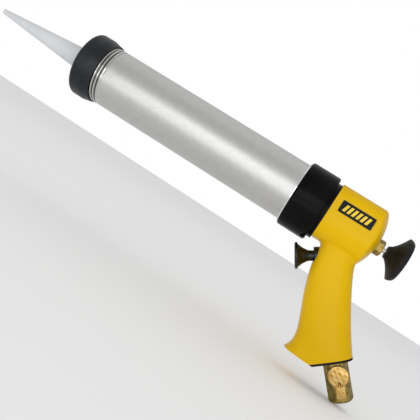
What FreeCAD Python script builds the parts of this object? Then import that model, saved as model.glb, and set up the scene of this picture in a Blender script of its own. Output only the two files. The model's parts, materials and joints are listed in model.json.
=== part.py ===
import FreeCAD, Part

import math
import os

# Air-powered caulking gun, in millimetres.
# The origin is the centre of the nozzle's outlet. +X runs along the barrel's axis to the head, +Z is up and
# the grip hangs below the head. The lever and the nameplate are on the -Y side.

Vector = FreeCAD.Vector
REARWARD = Vector(1, 0, 0)
ACROSS = Vector(0, 1, 0)

# fits
RUN = 0.05           # radial clearance of a running fit
FREE = 0.3           # radial clearance of pieces that pass each other
SEAT = 0.1           # gap between faces that seat when the tool is tightened

# barrel
TUBE_R = 28.0
TUBE_WALL = 2.0
TUBE_LENGTH = 239.8
THREAD_DEPTH = 0.8
THREAD_PITCH = 3.3
TUBE_THREAD_LENGTH = 24.0

# nozzle
NOZZLE_REACH = 104.0 # from the outlet to the cap's front face
OUTLET_R = 1.5
OUTLET_LENGTH = 8.0
TIP_WALL = 0.9
NOZZLE_FOOT_R = 11.4
NOZZLE_WALL = 1.5
FLANGE_THICKNESS = 2.5
SPIGOT_LENGTH = 4.4
SPIGOT_WALL = 1.6
NOZZLE_EDGE = 0.6
FRONT_SEAL = 1.5

# front cap
CAP_WALL = 3.1       # outside the thread
CAP_LENGTH = 22.2
CAP_FACE = 4.0
CAP_CHAMFER_LENGTH = 8.5
CAP_LIP_WALL = 1.2
CAP_ROUND = 4.0
CAP_CHAMFER_ROUND = 2.5
CAP_LIP_ROUND = 0.5
CAP_HOLE_ROUND = 0.8

# ring nut and the pieces in it
NUT_STEP = 1.9       # from the tube to the nut's bore
NUT_LENGTH = 29.0
NUT_LIP = 3.0
NUT_FRONT_ROUND = 2.6
NUT_BACK_ROUND = 1.8
NUT_OVERLAP = 14.0   # how far the tight nut reaches over the adapter
NUT_WALL = 2.1
SLEEVE_WALL = 1.15
SLEEVE_STICKOUT = 1.2
SLEEVE_FLANGE = 1.5
SLEEVE_ROUND = 0.5
RETAINER_WIDTH = 2.0
RETAINER_DEPTH = 0.8
RETAINER_HEIGHT = 1.4
RETAINER_GAP = 6.0

# adapter
ADAPTER_LENGTH = 17.0
ADAPTER_NECK = 3.5
ADAPTER_NECK_STEP = 0.5   # the neck is this much smaller than the tube
ADAPTER_SPIGOT_R = 15.9
ADAPTER_SPIGOT = 5.0
ADAPTER_PORT_R = 5.0
GASKET = 1.0
SCREW_WALL = 1.3     # between the screw holes and the spigot
SCREW_COUNT = 4
SCREW_R = 2.5
SCREW_HEAD_R = 4.25
SCREW_HEAD = 5.0
SCREW_KEY = 4.0
SCREW_KEY_DEPTH = 2.5
SCREW_GRIP = 11.0    # depth of the screws in the head

# piston
PISTON_BODY = 14.0
PISTON_CUP_WALL = 2.5     # inside the seal's groove
PISTON_CUP = 8.0
SEAL_WIDTH = 4.0
SEAL_DEPTH = 3.2
SEAL_ROUND = 0.8
PISTON_PLATE = 3.0
PISTON_PLATE_GAP = 2.0    # between the plate and the bore
PISTON_PLATE_ROUND = 1.5
PISTON_CUP_ROUND = 2.0
PISTON_SCREW_R = 3.0
PISTON_SCREW_HEAD_R = 6.0
PISTON_SLOT = 1.2
PISTON_SLOT_DEPTH = 1.5

# head
HEAD_LENGTH = 53.3
HEAD_TOP_STEP = 0.9  # the head's top is this much nearer the axis than the tube's
HEAD_LOW_STEP = 2.7
HEAD_TOP_ROUND = 12.0
HEAD_LOW_ROUND = 22.0
DOME_Z = 1.2
DOME_EDGE = 3.5
CREASE_ROUND = 4.0        # blend between the head and the grip
CAVITY_DEPTH = 15.0

# grip, measured from the head's front face and down from the head's underside
GRIP_HEIGHT = 95.4
NECK_FRONT = 11.5
NECK_HALF_WIDTH = 17.0
SECTION_POINTS = 28
SOLE_HEEL = 57.5     # where the sole turns up to the slanted inlet face
INLET_TILT = 41.5    # slope of the inlet face, degrees

# trigger valve, on an axis that climbs to the rear
TRIGGER_TILT = 32.7
TRIGGER_AHEAD = 12.5   # behind the head's front face, where the axis enters the grip
TRIGGER_BELOW = 13.2
TRIGGER_TRAVEL = 5.0
BUTTON_REACH = 18.0
BUTTON_R = 12.2
BUTTON_RIM = 2.8
BUTTON_RIM_ROUND = 1.1
BUTTON_DISH = 0.8
BUTTON_NECK_R = 4.8
FLARE_RIM_SHARE = 0.84    # radius of the flare behind the rim, as a share of its height over the neck
FLARE_MIDDLE_SHARE = 0.50
FLARE_NECK_SHARE = 0.26
FLARE_STEP = 0.18     # lengths and rounds of the flare, as shares of the button behind its rim
FLARE_LENGTH = 0.62
FLARE_ROUND = 0.4
FLARE_MIDDLE_ROUND = 0.5
BUTTON_SOCKET = 6.8   # from the button's face to the end of the stem in it
VALVE_BORE_R = 8.0
VALVE_DEPTH = 32.0
BUSH_STICKOUT = 1.0
BUSH_COLLAR = 6.5
BUSH_LENGTH = 12.0
BUSH_TAIL_R = 5.2
BUSH_EDGE = 0.8
BUSH_BACK_GAP = 0.5    # between the pressed button and the bottom of its collar
STEM_R = 2.5
RING_R = 0.75          # section radius of the small O-rings
SEAT_AT = 16.0
SEAT_EDGE = 0.5
SEAT_LENGTH = 2.5
SEAT_OVERLAP = 1.8     # width of the seat under the poppet
POPPET_GAP = 2.0       # between the poppet and the valve bore
POPPET_FACE = 0.8
POPPET_HEAD = 1.6
POPPET_EDGE = 0.4
SPRING_R = 4.5
SPRING_WIRE_R = 0.4
SPRING_COILS = 5

# throttle
THROTTLE_Z = -1.9
THROTTLE_BORE_R = 5.0
THROTTLE_TRAVEL = 3.0
ORIFICE_R = 2.3
ORIFICE_LENGTH = 2.0
GLAND_SHANK = 13.0
GLAND_HEX = 13.0
GLAND_HEX_LENGTH = 6.3
GLAND_RECESS = 0.8
GLAND_CHAMFER = 1.0
SPOT_FACE_GAP = 0.5   # round the gland nut's corners, in the head's dome
THROTTLE_STEM_R = 2.2
NEEDLE_LENGTH = 4.0
NEEDLE_SOCKET = 2.5
NEEDLE_EDGE = 0.5
KNOB_GAP = 3.4
KNOB_NECK_R = 6.2
KNOB_COLLAR_R = 11.4
KNOB_WAIST_AT = 3.72  # all knob stations are behind its front face
KNOB_WAIST_SHARE = 0.72   # of the rise from the neck to the collar
KNOB_COLLAR_AT = 6.2
KNOB_R = 21.2
KNOB_RIM_AT = 12.6
KNOB_EDGE_R = 19.2
KNOB_EDGE_AT = 17.2
KNOB_LENGTH = 19.0
KNOB_ROUND = 1.6
KNOB_SCREW_R = 1.4
KNOB_SCREW_HEAD_R = 4.0
KNOB_SCREW_HEAD = 2.0
KNOB_SCREW_LENGTH = 5.5
KNOB_SLOT = 1.0

# inlet, on an axis square to the slanted face
INLET_OFFSET = 23.3    # from the sole's heel, up the slanted face
INLET_GASKET = 2.0
INLET_HEX = 19.0
INLET_LENGTH = 35.4
INLET_CHAMFER = 2.2
INLET_SPIGOT = 13.0
INLET_SPIGOT_R = 6.5
INLET_THREAD_R = 5.72  # minor radius of a quarter-inch parallel pipe thread
INLET_THREAD_LENGTH = 13.0
AIRWAY_R = 3.0
GRIP_AIRWAY_R = 3.5
RISER_R = 1.8

# flow lever
LEVER_R = 9.0
LEVER_THICKNESS = 3.6
LEVER_GAP = 0.8
LEVER_CLEAR = 2.8     # between the gasket and the disc
LEVER_EDGE = 0.5
LEVER_SOCKET = 2.4    # depth of the spindle in the disc
NOTCH_WIDTH = 1.4
NOTCH_LENGTH = 4.0
NOTCH_DEPTH = 0.8
TAB_WIDTH = 9.4
TAB_REACH = 19.2
TAB_THICKNESS = 2.4
TAB_ROUND = 1.2
SPINDLE_R = 4.5
SPINDLE_PORT_R = 2.6
SPINDLE_SEAL_AT = 2.5   # behind the inlet's near flat
CLIP_THICKNESS = 0.8
CLIP_R = 6.3
CLIP_GROOVE = 1.0
CLIP_MOUTH = 5.6

# nameplate
PLATE_LENGTH = 32.0
PLATE_HEIGHT = 10.8
PLATE_STANDS = 0.6
PLATE_INSET = 0.5
PLATE_FROM_FRONT = 6.5
PLATE_Z = 8.9
PLATE_ROUND = 0.8

# places along the barrel's axis
cap_front = NOZZLE_REACH
cap_inside = cap_front + CAP_FACE
flange_front = cap_inside + SEAT
flange_back = flange_front + FLANGE_THICKNESS
seal_front = flange_back + SEAT
tube_front = seal_front + FRONT_SEAL
tube_back = tube_front + TUBE_LENGTH
adapter_front = tube_back + GASKET
adapter_back = adapter_front + ADAPTER_LENGTH
head_front = adapter_back + GASKET
head_back = head_front + HEAD_LENGTH
nut_back = adapter_front + NUT_OVERLAP
nut_front = nut_back - NUT_LENGTH
sleeve_flange_front = nut_front + NUT_LIP + SEAT
sleeve_flange_back = sleeve_flange_front + SLEEVE_FLANGE
retainer_front = sleeve_flange_back + SEAT
cavity_back = head_front + CAVITY_DEPTH
throttle_front = cavity_back + ORIFICE_LENGTH
bore_r = TUBE_R - TUBE_WALL
cap_r = TUBE_R + FREE + CAP_WALL
nut_bore_r = TUBE_R + NUT_STEP
nut_r = nut_bore_r + NUT_WALL
adapter_neck_r = TUBE_R - ADAPTER_NECK_STEP
screw_circle_r = ADAPTER_SPIGOT_R + SCREW_WALL + FREE + SCREW_R
piston_r = bore_r - FREE
piston_cup_r = piston_r - SEAL_DEPTH - PISTON_CUP_WALL
piston_plate_r = bore_r - PISTON_PLATE_GAP

# the head's outline: as wide as the tube, with a rear dome as round as it is wide
head_half_width = TUBE_R
head_top = TUBE_R - HEAD_TOP_STEP
head_below = TUBE_R - HEAD_LOW_STEP
dome_r = 2 * TUBE_R

# places on the grip
sole_z = -head_below - GRIP_HEIGHT
neck_front_x = head_front + NECK_FRONT
heel = Vector(head_front + SOLE_HEEL, 0, sole_z)
tilt = math.radians(INLET_TILT)
up_slope = Vector(math.cos(tilt), 0, math.sin(tilt))
INLET_WAY = Vector(math.sin(tilt), 0, -math.cos(tilt))
inlet_face = heel + up_slope * INLET_OFFSET
throttle_axis = Vector(0, 0, THROTTLE_Z)
climb = math.radians(TRIGGER_TILT)
TRIGGER_WAY = Vector(math.cos(climb), 0, math.sin(climb))
trigger_mouth = Vector(head_front + TRIGGER_AHEAD, 0, -head_below - TRIGGER_BELOW)
poppet_r = VALVE_BORE_R - POPPET_GAP
seat_port_r = poppet_r - SEAT_OVERLAP
poppet_front = SEAT_AT + SEAT_LENGTH + SEAT
poppet_back = poppet_front + POPPET_FACE + POPPET_HEAD
gland_face = head_back - GLAND_RECESS
gland_back = gland_face + GLAND_HEX_LENGTH
gland_corner_r = GLAND_HEX / math.sqrt(3)
spot_face_r = gland_corner_r + SPOT_FACE_GAP
knob_front = gland_back + KNOB_GAP
lever_along = INLET_GASKET + LEVER_CLEAR + LEVER_R
lever_face = inlet_face + INLET_WAY * lever_along
inlet_bottom = INLET_GASKET + INLET_LENGTH


def corner(before, point, after, radius):
    """Two tangent points and the middle of the arc that rounds a corner of an outline."""
    to_before = (before - point).normalize()
    to_after = (after - point).normalize()
    half = to_before.getAngle(to_after) / 2
    reach = radius / math.tan(half)
    middle_line = (to_before + to_after).normalize()
    middle = point + middle_line * (radius / math.sin(half) - radius)
    return point + to_before * reach, middle, point + to_after * reach


def closed_wire(points, rounds):
    """Closed outline through the points, with the corners named in rounds rounded to a radius."""
    count = len(points)
    stops = []
    for i, point in enumerate(points):
        if i in rounds:
            stops.append(corner(points[i - 1], point, points[(i + 1) % count], rounds[i]))
        else:
            stops.append((point, None, point))
    edges = []
    for i, (first, middle, last) in enumerate(stops):
        if middle is not None:
            edges.append(Part.Arc(first, middle, last).toShape())
        following = stops[(i + 1) % count][0]
        if (following - last).Length > 1e-6:
            edges.append(Part.makeLine(last, following))
    return Part.Wire(edges)


def placed(shape, start, way):
    """Moves a shape made along +X so that it starts at a point and runs along a direction."""
    shape.Placement = FreeCAD.Placement(start, FreeCAD.Rotation(REARWARD, way))
    return shape


def turned(points, rounds=None, start=Vector(), way=REARWARD):
    """Solid of revolution of (along, radius) points about the line from start along way."""
    outline = [Vector(along, 0, radius) for along, radius in points]
    face = Part.Face(closed_wire(outline, rounds or {}))
    solid = face.revolve(Vector(), REARWARD, 360)
    return placed(Part.makeSolid(solid) if solid.ShapeType == "Shell" else solid, start, way)


def rod(begin, end, radius, start=Vector(), way=REARWARD):
    """Cylinder between two distances along a line."""
    return Part.makeCylinder(radius, end - begin, start + way * begin, way)


def ring(begin, end, outer, inner, start=Vector(), way=REARWARD):
    """Cylindrical ring between two distances along a line."""
    return rod(begin, end, outer, start, way).cut(rod(begin, end, inner, start, way))


def hexagon(begin, end, across_flats, start, way):
    """Hexagonal bar along a line in the XZ plane, with two flats facing +Y and -Y."""
    corner_r = across_flats / math.sqrt(3)
    points = []
    for i in range(6):
        angle = math.radians(60 * i)
        points.append(Vector(0, corner_r * math.sin(angle), corner_r * math.cos(angle)))
    bar = Part.Face(closed_wire(points, {})).extrude(REARWARD * (end - begin))
    return placed(bar, start + way * begin, way)


def torus(along, mean_r, section_r, start=Vector(), way=REARWARD):
    """O-ring about a line, in the plane at a distance along it."""
    return Part.makeTorus(mean_r, section_r, start + way * along, way)


def thread_rings(begin, end, crest, root):
    """Outline points of round-bottomed thread turns, from begin towards end."""
    count = int(abs(end - begin) // THREAD_PITCH)
    step = math.copysign(THREAD_PITCH, end - begin)
    points = []
    for i in range(count):
        here = begin + i * step
        points.append((here + 0.20 * step, crest))
        points.append((here + 0.42 * step, root))
        points.append((here + 0.72 * step, root))
        points.append((here + 0.94 * step, crest))
    return points


def nozzle_r(along):
    """Outside radius of the nozzle's cone."""
    tip_r = OUTLET_R + TIP_WALL
    return tip_r + (NOZZLE_FOOT_R - tip_r) * along / NOZZLE_REACH


def nozzle():
    flange_r = TUBE_R - RUN
    spigot_r = bore_r - FREE
    spigot_back = flange_back + SPIGOT_LENGTH
    funnel_r = spigot_r - SPIGOT_WALL
    points = [
        (0, OUTLET_R),
        (0, nozzle_r(0)),
        (flange_front, nozzle_r(flange_front)),
        (flange_front, flange_r),
        (flange_back, flange_r),
        (flange_back, spigot_r),
        (spigot_back, spigot_r),
        (spigot_back, funnel_r),
        (flange_back, funnel_r),
        (flange_front, nozzle_r(flange_front) - NOZZLE_WALL),
        (OUTLET_LENGTH, OUTLET_R),
    ]
    return turned(points, {1: NOZZLE_EDGE, 6: NOZZLE_EDGE})


def front_cap():
    cap_back = cap_front + CAP_LENGTH
    hole_r = nozzle_r(cap_inside) + FREE
    thread_r = TUBE_R + FREE
    points = [
        (cap_front, hole_r),
        (cap_front, cap_r),
        (cap_back - CAP_CHAMFER_LENGTH, cap_r),
        (cap_back, thread_r + CAP_LIP_WALL),
        (cap_back, thread_r),
    ]
    points += thread_rings(cap_back - CAP_CHAMFER_LENGTH / 2, tube_front, thread_r, thread_r + THREAD_DEPTH)
    points += [(cap_inside, thread_r), (cap_inside, hole_r)]
    return turned(points, {0: CAP_HOLE_ROUND, 1: CAP_ROUND, 2: CAP_CHAMFER_ROUND, 3: CAP_LIP_ROUND})


def front_seal():
    return ring(seal_front, tube_front, TUBE_R - RUN, bore_r)


def barrel_tube():
    retainer_back = retainer_front + RETAINER_WIDTH
    groove_r = TUBE_R - RETAINER_DEPTH
    points = [(tube_front, bore_r), (tube_front, TUBE_R)]
    points += thread_rings(tube_front, tube_front + TUBE_THREAD_LENGTH, TUBE_R, TUBE_R - THREAD_DEPTH)
    points += [
        (retainer_front, TUBE_R),
        (retainer_front, groove_r),
        (retainer_back, groove_r),
        (retainer_back, TUBE_R),
        (tube_back, TUBE_R),
        (tube_back, bore_r),
    ]
    return turned(points)


def retaining_ring():
    inner = TUBE_R - RETAINER_DEPTH
    outer = TUBE_R + RETAINER_HEIGHT
    whole = ring(retainer_front, retainer_front + RETAINER_WIDTH, outer, inner)
    gap = Part.makeBox(RETAINER_WIDTH, RETAINER_GAP, 2 * RETAINER_HEIGHT + RETAINER_DEPTH)
    gap.translate(Vector(retainer_front, -RETAINER_GAP / 2, -outer))
    return whole.cut(gap)


def barrel_gasket():
    return ring(tube_back, adapter_front, TUBE_R, bore_r)


def slip_sleeve():
    inner = TUBE_R + RUN
    outer = inner + SLEEVE_WALL
    points = [
        (nut_front - SLEEVE_STICKOUT, inner),
        (nut_front - SLEEVE_STICKOUT, outer),
        (sleeve_flange_front, outer),
        (sleeve_flange_front, nut_bore_r - FREE),
        (sleeve_flange_back, nut_bore_r - FREE),
        (sleeve_flange_back, inner),
    ]
    return turned(points, {1: SLEEVE_ROUND})


def ring_nut():
    lip_r = TUBE_R + RUN + SLEEVE_WALL + RUN
    lip_back = nut_front + NUT_LIP
    points = [
        (nut_front, lip_r),
        (nut_front, nut_r),
        (nut_back, nut_r),
        (nut_back, nut_bore_r),
    ]
    points += thread_rings(nut_back, adapter_front, nut_bore_r, nut_bore_r + THREAD_DEPTH)
    points += [(lip_back, nut_bore_r), (lip_back, lip_r)]
    return turned(points, {1: NUT_FRONT_ROUND, 2: NUT_BACK_ROUND})


def screw_places():
    """Directions of the adapter screws about the barrel's axis."""
    places = []
    for i in range(SCREW_COUNT):
        angle = math.radians(45 + 360 * i / SCREW_COUNT)
        places.append(Vector(0, screw_circle_r * math.cos(angle), screw_circle_r * math.sin(angle)))
    return places


def head_adapter():
    crest = nut_bore_r - FREE
    spigot_back = head_front + ADAPTER_SPIGOT
    neck_front = adapter_back - ADAPTER_NECK
    points = [(adapter_front, ADAPTER_PORT_R), (adapter_front, crest)]
    points += thread_rings(adapter_front, neck_front, crest, crest - THREAD_DEPTH)
    points += [
        (neck_front, crest),
        (neck_front, adapter_neck_r),
        (adapter_back, adapter_neck_r),
        (adapter_back, ADAPTER_SPIGOT_R),
        (spigot_back, ADAPTER_SPIGOT_R),
        (spigot_back, ADAPTER_PORT_R),
    ]
    body = turned(points)
    for place in screw_places():
        body = body.cut(rod(adapter_front, adapter_back, SCREW_R + FREE, place))
        body = body.cut(rod(adapter_front, adapter_front + SCREW_HEAD, SCREW_HEAD_R + FREE, place))
    return body


def adapter_gasket():
    body = ring(adapter_back, head_front, adapter_neck_r, ADAPTER_SPIGOT_R)
    for place in screw_places():
        body = body.cut(rod(adapter_back, head_front, SCREW_R + FREE, place))
    return body


def adapter_screws():
    screws = []
    for place in screw_places():
        head_back_face = adapter_front + SCREW_HEAD
        head = rod(adapter_front, head_back_face, SCREW_HEAD_R, place)
        shank = rod(head_back_face, head_front + SCREW_GRIP, SCREW_R, place)
        key = hexagon(adapter_front, adapter_front + SCREW_KEY_DEPTH, SCREW_KEY, place, REARWARD)
        screws.append(head.fuse(shank).cut(key).removeSplitter())
    return Part.makeCompound(screws)


def piston_front():
    return tube_back - SEAT - PISTON_BODY


def piston_plunger():
    front = piston_front()
    back = front + PISTON_BODY
    groove = front + (PISTON_BODY - SEAL_WIDTH) / 2
    points = [
        (front, PISTON_SCREW_R),
        (front, piston_r),
        (groove, piston_r),
        (groove, piston_r - SEAL_DEPTH),
        (groove + SEAL_WIDTH, piston_r - SEAL_DEPTH),
        (groove + SEAL_WIDTH, piston_r),
        (back, piston_r),
        (back, piston_cup_r),
        (back - PISTON_CUP, piston_cup_r),
        (back - PISTON_CUP, PISTON_SCREW_R),
    ]
    return turned(points, {8: PISTON_CUP_ROUND})


def piston_seal():
    front = piston_front() + (PISTON_BODY - SEAL_WIDTH) / 2
    inner = piston_r - SEAL_DEPTH
    points = [
        (front, inner),
        (front, bore_r - RUN),
        (front + SEAL_WIDTH, bore_r - RUN),
        (front + SEAL_WIDTH, inner),
    ]
    return turned(points, {1: SEAL_ROUND, 2: SEAL_ROUND})


def piston_plate():
    back = piston_front()
    front = back - PISTON_PLATE
    points = [
        (front, PISTON_SCREW_HEAD_R),
        (front, piston_plate_r),
        (back, piston_plate_r),
        (back, PISTON_SCREW_R),
    ]
    return turned(points, {1: PISTON_PLATE_ROUND})


def piston_screw():
    front = piston_front() - PISTON_PLATE
    back = piston_front() + PISTON_BODY - PISTON_CUP
    points = [
        (front, 0),
        (front, PISTON_SCREW_HEAD_R),
        (piston_front(), PISTON_SCREW_R),
        (back, PISTON_SCREW_R),
        (back, 0),
    ]
    slot = Part.makeBox(PISTON_SLOT_DEPTH, 2 * PISTON_SCREW_HEAD_R, PISTON_SLOT)
    slot.translate(Vector(front, -PISTON_SCREW_HEAD_R, -PISTON_SLOT / 2))
    return turned(points).cut(slot)


def head_block():
    """The head: a rounded box along the barrel's axis, closed behind by a shallow dome."""
    half = head_half_width
    points = [
        Vector(head_front, -half, head_top),
        Vector(head_front, half, head_top),
        Vector(head_front, half, -head_below),
        Vector(head_front, -half, -head_below),
    ]
    rounds = {0: HEAD_TOP_ROUND, 1: HEAD_TOP_ROUND, 2: HEAD_LOW_ROUND, 3: HEAD_LOW_ROUND}
    block = Part.Face(closed_wire(points, rounds)).extrude(REARWARD * HEAD_LENGTH)
    dome = Part.makeSphere(dome_r, Vector(head_back - dome_r, 0, DOME_Z))
    block = block.common(dome)
    rim = [edge for edge in block.Edges if edge.BoundBox.XMin > head_front + HEAD_LENGTH / 2]
    rim = [edge for edge in rim if not is_straight(edge)]
    return block.makeFillet(DOME_EDGE, rim)


def is_straight(edge):
    return edge.Curve.TypeId == "Part::GeomLine"


def grip_section(below, front, back, half_width, power=2.5):
    """Closed curve below the head's underside: a superellipse, flatter on its sides than an ellipse."""
    middle = neck_front_x + (front + back) / 2
    half = (back - front) / 2
    points = []
    for i in range(SECTION_POINTS):
        angle = 2 * math.pi * i / SECTION_POINTS
        c = math.cos(angle)
        s = math.sin(angle)
        x = middle + half * math.copysign(abs(c) ** (2 / power), c)
        y = half_width * math.copysign(abs(s) ** (2 / power), s)
        points.append(Vector(x, y, -head_below - below))
    curve = Part.BSplineCurve()
    curve.interpolate(Points=points, PeriodicFlag=True)
    return Part.Wire([curve.toShape()])


def grip_block():
    """The grip before its inlet face is cut: a loft down through the neck, throat, palm and foot.
    Front and back are distances behind the neck's front edge."""
    sections = [
        grip_section(-0.12 * GRIP_HEIGHT, front=0.0, back=37.0, half_width=NECK_HALF_WIDTH - 0.5),
        grip_section(0.02 * GRIP_HEIGHT, front=0.0, back=35.0, half_width=NECK_HALF_WIDTH),
        grip_section(0.14 * GRIP_HEIGHT, front=1.2, back=40.0, half_width=NECK_HALF_WIDTH - 0.6),
        grip_section(0.32 * GRIP_HEIGHT, front=5.0, back=49.5, half_width=NECK_HALF_WIDTH - 0.4),
        grip_section(0.54 * GRIP_HEIGHT, front=12.5, back=62.5, half_width=NECK_HALF_WIDTH + 0.4),
        grip_section(0.74 * GRIP_HEIGHT, front=20.5, back=76.0, half_width=NECK_HALF_WIDTH + 0.8, power=2.7),
        grip_section(0.88 * GRIP_HEIGHT, front=24.0, back=87.0, half_width=NECK_HALF_WIDTH + 0.7, power=2.9),
        grip_section(GRIP_HEIGHT, front=21.0, back=95.0, half_width=NECK_HALF_WIDTH + 0.2, power=3.1),
    ]
    return Part.makeLoft(sections, True, False)


def below_inlet_face(offset):
    """Everything on the outer side of the slanted face, moved out by an offset."""
    size = 200.0
    box = Part.makeBox(size, size, size, Vector(0, -size / 2, -size / 2))
    return placed(box, heel + INLET_WAY * offset, INLET_WAY)


def handle_body():
    """The casting: head and grip in one, with the bores, airways and seats cut into it."""
    grip = grip_block().cut(below_inlet_face(0))
    body = head_block().fuse(grip)
    body = body.makeFillet(CREASE_ROUND, crease_edges(body))
    body = body.cut(rod(head_front, cavity_back, ADAPTER_SPIGOT_R))
    for place in screw_places():
        body = body.cut(rod(head_front, head_front + SCREW_GRIP, SCREW_R, place))
    body = body.cut(rod(cavity_back, throttle_front, ORIFICE_R, throttle_axis))
    body = body.cut(rod(throttle_front, head_back, THROTTLE_BORE_R, throttle_axis))
    body = body.cut(rod(gland_face, head_back + dome_r, spot_face_r, throttle_axis))
    body = body.cut(rod(-BUTTON_REACH, VALVE_DEPTH, VALVE_BORE_R, trigger_mouth, TRIGGER_WAY))
    body = body.cut(riser())
    body = body.cut(rod(-INLET_SPIGOT, 0, INLET_SPIGOT_R, inlet_face, INLET_WAY))
    body = body.cut(grip_airway())
    return body.cut(plate_block())


def crease_edges(body):
    """The seam between the head and the grip: edges inside the head's outline, just about its underside."""
    seam = []
    for edge in body.Edges:
        box = edge.BoundBox
        under = box.ZMin > -head_below - 1 and box.ZMax < -head_below + HEAD_LOW_ROUND
        inside = box.XMin > neck_front_x - 1 and max(box.YMax, -box.YMin) < NECK_HALF_WIDTH + 1
        if under and inside and not is_straight(edge):
            seam.append(edge)
    return seam


def riser():
    """Air passage from the trigger valve straight up to the throttle."""
    foot = trigger_mouth + TRIGGER_WAY * (BUSH_LENGTH + SEAT_AT) / 2
    return rod(0, THROTTLE_Z - foot.z, RISER_R, foot, Vector(0, 0, 1))


def grip_airway():
    """Air passage up the grip, from the inlet to the chamber behind the poppet."""
    low = inlet_face - INLET_WAY * INLET_SPIGOT
    high = trigger_mouth + TRIGGER_WAY * ((poppet_back + VALVE_DEPTH) / 2)
    way = (high - low).normalize()
    return rod(0, (high - low).Length, GRIP_AIRWAY_R, low, way)


def plate_block():
    """Rounded plate on the head's side, sunk into it."""
    left = head_front + PLATE_FROM_FRONT
    right = left + PLATE_LENGTH
    low = PLATE_Z - PLATE_HEIGHT / 2
    high = PLATE_Z + PLATE_HEIGHT / 2
    y = -head_half_width + PLATE_INSET
    points = [Vector(left, y, low), Vector(right, y, low), Vector(right, y, high), Vector(left, y, high)]
    rounds = {0: PLATE_ROUND, 1: PLATE_ROUND, 2: PLATE_ROUND, 3: PLATE_ROUND}
    return Part.Face(closed_wire(points, rounds)).extrude(Vector(0, -PLATE_INSET - PLATE_STANDS, 0))


def nameplate():
    return plate_block()


def on_trigger(points, rounds=None):
    return turned(points, rounds, trigger_mouth, TRIGGER_WAY)


def trigger_button():
    """Trumpet-shaped button: a dished rim that flares from a neck, with a blind socket for the stem."""
    front = -BUTTON_REACH
    rim_back = front + BUTTON_RIM
    neck_back = BUSH_COLLAR - BUSH_BACK_GAP - TRIGGER_TRAVEL
    waist = BUTTON_REACH - BUTTON_RIM
    flare = BUTTON_R - BUTTON_NECK_R
    points = [
        (front + BUTTON_DISH, 0),
        (front, BUTTON_R - 2 * BUTTON_RIM_ROUND),
        (front, BUTTON_R),
        (rim_back, BUTTON_R),
        (rim_back, BUTTON_NECK_R + flare * FLARE_RIM_SHARE),
        (rim_back + waist * FLARE_STEP, BUTTON_NECK_R + flare * FLARE_MIDDLE_SHARE),
        (rim_back + waist * 2 * FLARE_STEP, BUTTON_NECK_R + flare * FLARE_NECK_SHARE),
        (rim_back + waist * FLARE_LENGTH, BUTTON_NECK_R),
        (neck_back, BUTTON_NECK_R),
        (neck_back, STEM_R),
        (front + BUTTON_SOCKET, STEM_R),
        (front + BUTTON_SOCKET, 0),
    ]
    rounds = {2: BUTTON_RIM_ROUND, 3: BUTTON_RIM_ROUND}
    rounds[5] = rounds[7] = waist * FLARE_ROUND
    rounds[6] = waist * FLARE_MIDDLE_ROUND
    return on_trigger(points, rounds)


def trigger_bush():
    collar_bore = BUTTON_NECK_R + FREE
    ring_seat = BUSH_COLLAR + (BUSH_LENGTH - BUSH_COLLAR) / 2
    bore = STEM_R + RUN
    groove_r = bore + 2 * RING_R
    points = [
        (-BUSH_STICKOUT, collar_bore),
        (-BUSH_STICKOUT, VALVE_BORE_R),
        (BUSH_COLLAR, VALVE_BORE_R),
        (BUSH_COLLAR, BUSH_TAIL_R),
        (BUSH_LENGTH, BUSH_TAIL_R),
        (BUSH_LENGTH, bore),
        (ring_seat + RING_R, bore),
        (ring_seat + RING_R, groove_r),
        (ring_seat - RING_R, groove_r),
        (ring_seat - RING_R, bore),
        (BUSH_COLLAR, bore),
        (BUSH_COLLAR, collar_bore),
    ]
    return on_trigger(points, {1: BUSH_EDGE})


def stem_oring():
    along = BUSH_COLLAR + (BUSH_LENGTH - BUSH_COLLAR) / 2
    return torus(along, STEM_R + RUN + RING_R, RING_R, trigger_mouth, TRIGGER_WAY)


def valve_seat():
    points = [
        (SEAT_AT, seat_port_r),
        (SEAT_AT, VALVE_BORE_R),
        (SEAT_AT + SEAT_LENGTH, VALVE_BORE_R),
        (SEAT_AT + SEAT_LENGTH, seat_port_r),
    ]
    return on_trigger(points, {0: SEAT_EDGE})


def poppet_disc():
    return ring(poppet_front, poppet_front + POPPET_FACE, poppet_r, STEM_R, trigger_mouth, TRIGGER_WAY)


def trigger_stem():
    head_front_face = poppet_front + POPPET_FACE
    points = [
        (-BUTTON_REACH + BUTTON_SOCKET, 0),
        (-BUTTON_REACH + BUTTON_SOCKET, STEM_R),
        (head_front_face, STEM_R),
        (head_front_face, poppet_r),
        (poppet_back, poppet_r),
        (poppet_back, 0),
    ]
    return on_trigger(points, {4: POPPET_EDGE})


def valve_spring():
    """Open coil between the poppet's back and the end of the valve bore."""
    room = VALVE_DEPTH - poppet_back - 2 * SPRING_WIRE_R - 2 * SEAT
    helix = Part.makeHelix(room / SPRING_COILS, room, SPRING_R)
    across = Vector(SPRING_R, 0, 0)
    wire = Part.Wire([Part.makeCircle(SPRING_WIRE_R, across, Vector(0, 1, 0))])
    coil = Part.Wire(helix).makePipeShell([wire], True, True)
    foot = trigger_mouth + TRIGGER_WAY * (poppet_back + SPRING_WIRE_R + SEAT)
    coil.Placement = FreeCAD.Placement(foot, FreeCAD.Rotation(Vector(0, 0, 1), TRIGGER_WAY))
    return coil


def on_throttle(points, rounds=None):
    return turned(points, rounds, throttle_axis)


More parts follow.
